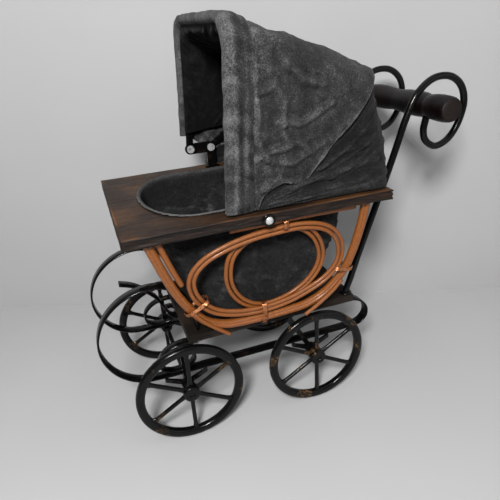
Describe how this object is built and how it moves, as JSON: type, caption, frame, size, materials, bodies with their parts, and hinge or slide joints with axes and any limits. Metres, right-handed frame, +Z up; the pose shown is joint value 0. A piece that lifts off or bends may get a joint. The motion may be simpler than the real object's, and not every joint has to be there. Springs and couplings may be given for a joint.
{
  "type": "doll stroller",
  "caption": "Decorative doll pram with a folding cloth hood, wooden board, rattan side frames, strap springs and spoked metal wheels.",
  "frame": {"origin": "middle of the bounding box on the ground under the wheels", "axes": "+X towards the push handle, +Z up, -Y is the side nearer the camera"},
  "size_m": [0.3963, 0.1906, 0.3962],
  "materials": {
    "board_wood": "dark stain, rough bark-like edge",
    "base_wood": "dull grey-green paint",
    "cloth": "worn charcoal velveteen",
    "rattan": "satin varnish",
    "black_metal": "gloss black",
    "wheel_metal": "black with bronze rub marks",
    "copper_wire": "bright copper wire",
    "rivet_metal": "bright",
    "bar_wood": "near-black stain, bare brown ends"
  },
  "bodies": {
    "frame": {"top_board": "board_wood", "base_board": "base_wood", "basket_liner": "cloth", "frame_pole_near": "rattan", "frame_thin_pole_near": "rattan", "frame_top_rail_near": "rattan", "oval_left_outer_near": "rattan", "oval_left_inner_near": "rattan", "oval_right_outer_near": "rattan", "oval_right_inner_near": "rattan", "frame_pole_far": "rattan", "frame_thin_pole_far": "rattan", "frame_top_rail_far": "rattan", "oval_left_outer_far": "rattan", "oval_left_inner_far": "rattan", "oval_right_outer_far": "rattan", "oval_right_inner_far": "rattan", "rattan_tail_near": "rattan", "rattan_tail_far": "rattan", "wire_tie_front_near": "copper_wire", "wire_tie_bottom_near": "copper_wire", "wire_tie_front_far": "copper_wire", "wire_tie_bottom_far": "copper_wire", "strap_spring_near": "black_metal", "front_scroll_near": "black_metal", "strap_spring_far": "black_metal", "front_scroll_far": "black_metal", "front_tongue": "black_metal", "axle_front": "black_metal", "axle_bracket_front_near": "black_metal", "axle_bracket_front_far": "black_metal", "axle_rear": "black_metal", "axle_bracket_rear_near": "black_metal", "axle_bracket_rear_far": "black_metal", "handle_rod_near": "black_metal", "handle_rod_far": "black_metal", "handle_bar": "bar_wood", "hood_rear_panel": "cloth", "bow_bracket_near": "black_metal", "pivot_rivet_mid_near": "rivet_metal", "board_tab_near": "black_metal", "bow_bracket_far": "black_metal", "pivot_rivet_mid_far": "rivet_metal", "board_tab_far": "black_metal"},
    "mid_bow_set": {"mid_bow": "black_metal", "link_plate_near": "black_metal", "link_plate_far": "black_metal", "pivot_rivet_front_near": "rivet_metal", "pivot_rivet_front_far": "rivet_metal", "hood_front_panel": "cloth"},
    "front_bow_set": {"front_bow": "black_metal"},
    "wheel_front_near_set": {"wheel_front_near": "wheel_metal"},
    "wheel_front_far_set": {"wheel_front_far": "wheel_metal"},
    "wheel_rear_near_set": {"wheel_rear_near": "wheel_metal"},
    "wheel_rear_far_set": {"wheel_rear_far": "wheel_metal"}
  },
  "joints": [
    {"name": "mid_bow_fold", "type": "hinge", "parent": "frame", "child": "mid_bow_set", "pos_m": [-0.03782, 0, 0.261], "axis": [0, 1, 0], "range_deg": [0, 20], "deforming": ["hood_rear_panel", "hood_front_panel"]},
    {"name": "front_bow_fold", "type": "hinge", "parent": "mid_bow_set", "child": "front_bow_set", "pos_m": [-0.06082, 0, 0.261], "axis": [0, 1, 0], "range_deg": [0, 32], "deforming": ["hood_front_panel"]},
    {"name": "wheel_front_near_spin", "type": "hinge", "parent": "frame", "child": "wheel_front_near_set", "pos_m": [-0.12032, -0.07, 0.055], "axis": [0, 1, 0], "continuous": true},
    {"name": "wheel_front_far_spin", "type": "hinge", "parent": "frame", "child": "wheel_front_far_set", "pos_m": [-0.12032, 0.07, 0.055], "axis": [0, 1, 0], "continuous": true},
    {"name": "wheel_rear_near_spin", "type": "hinge", "parent": "frame", "child": "wheel_rear_near_set", "pos_m": [0.01968, -0.07, 0.055], "axis": [0, 1, 0], "continuous": true},
    {"name": "wheel_rear_far_spin", "type": "hinge", "parent": "frame", "child": "wheel_rear_far_set", "pos_m": [0.01968, 0.07, 0.055], "axis": [0, 1, 0], "continuous": true}
  ],
  "couplings": [
    {"joint": "mid_bow_fold", "follows": "front_bow_fold", "ratio": 0.625}
  ]
}
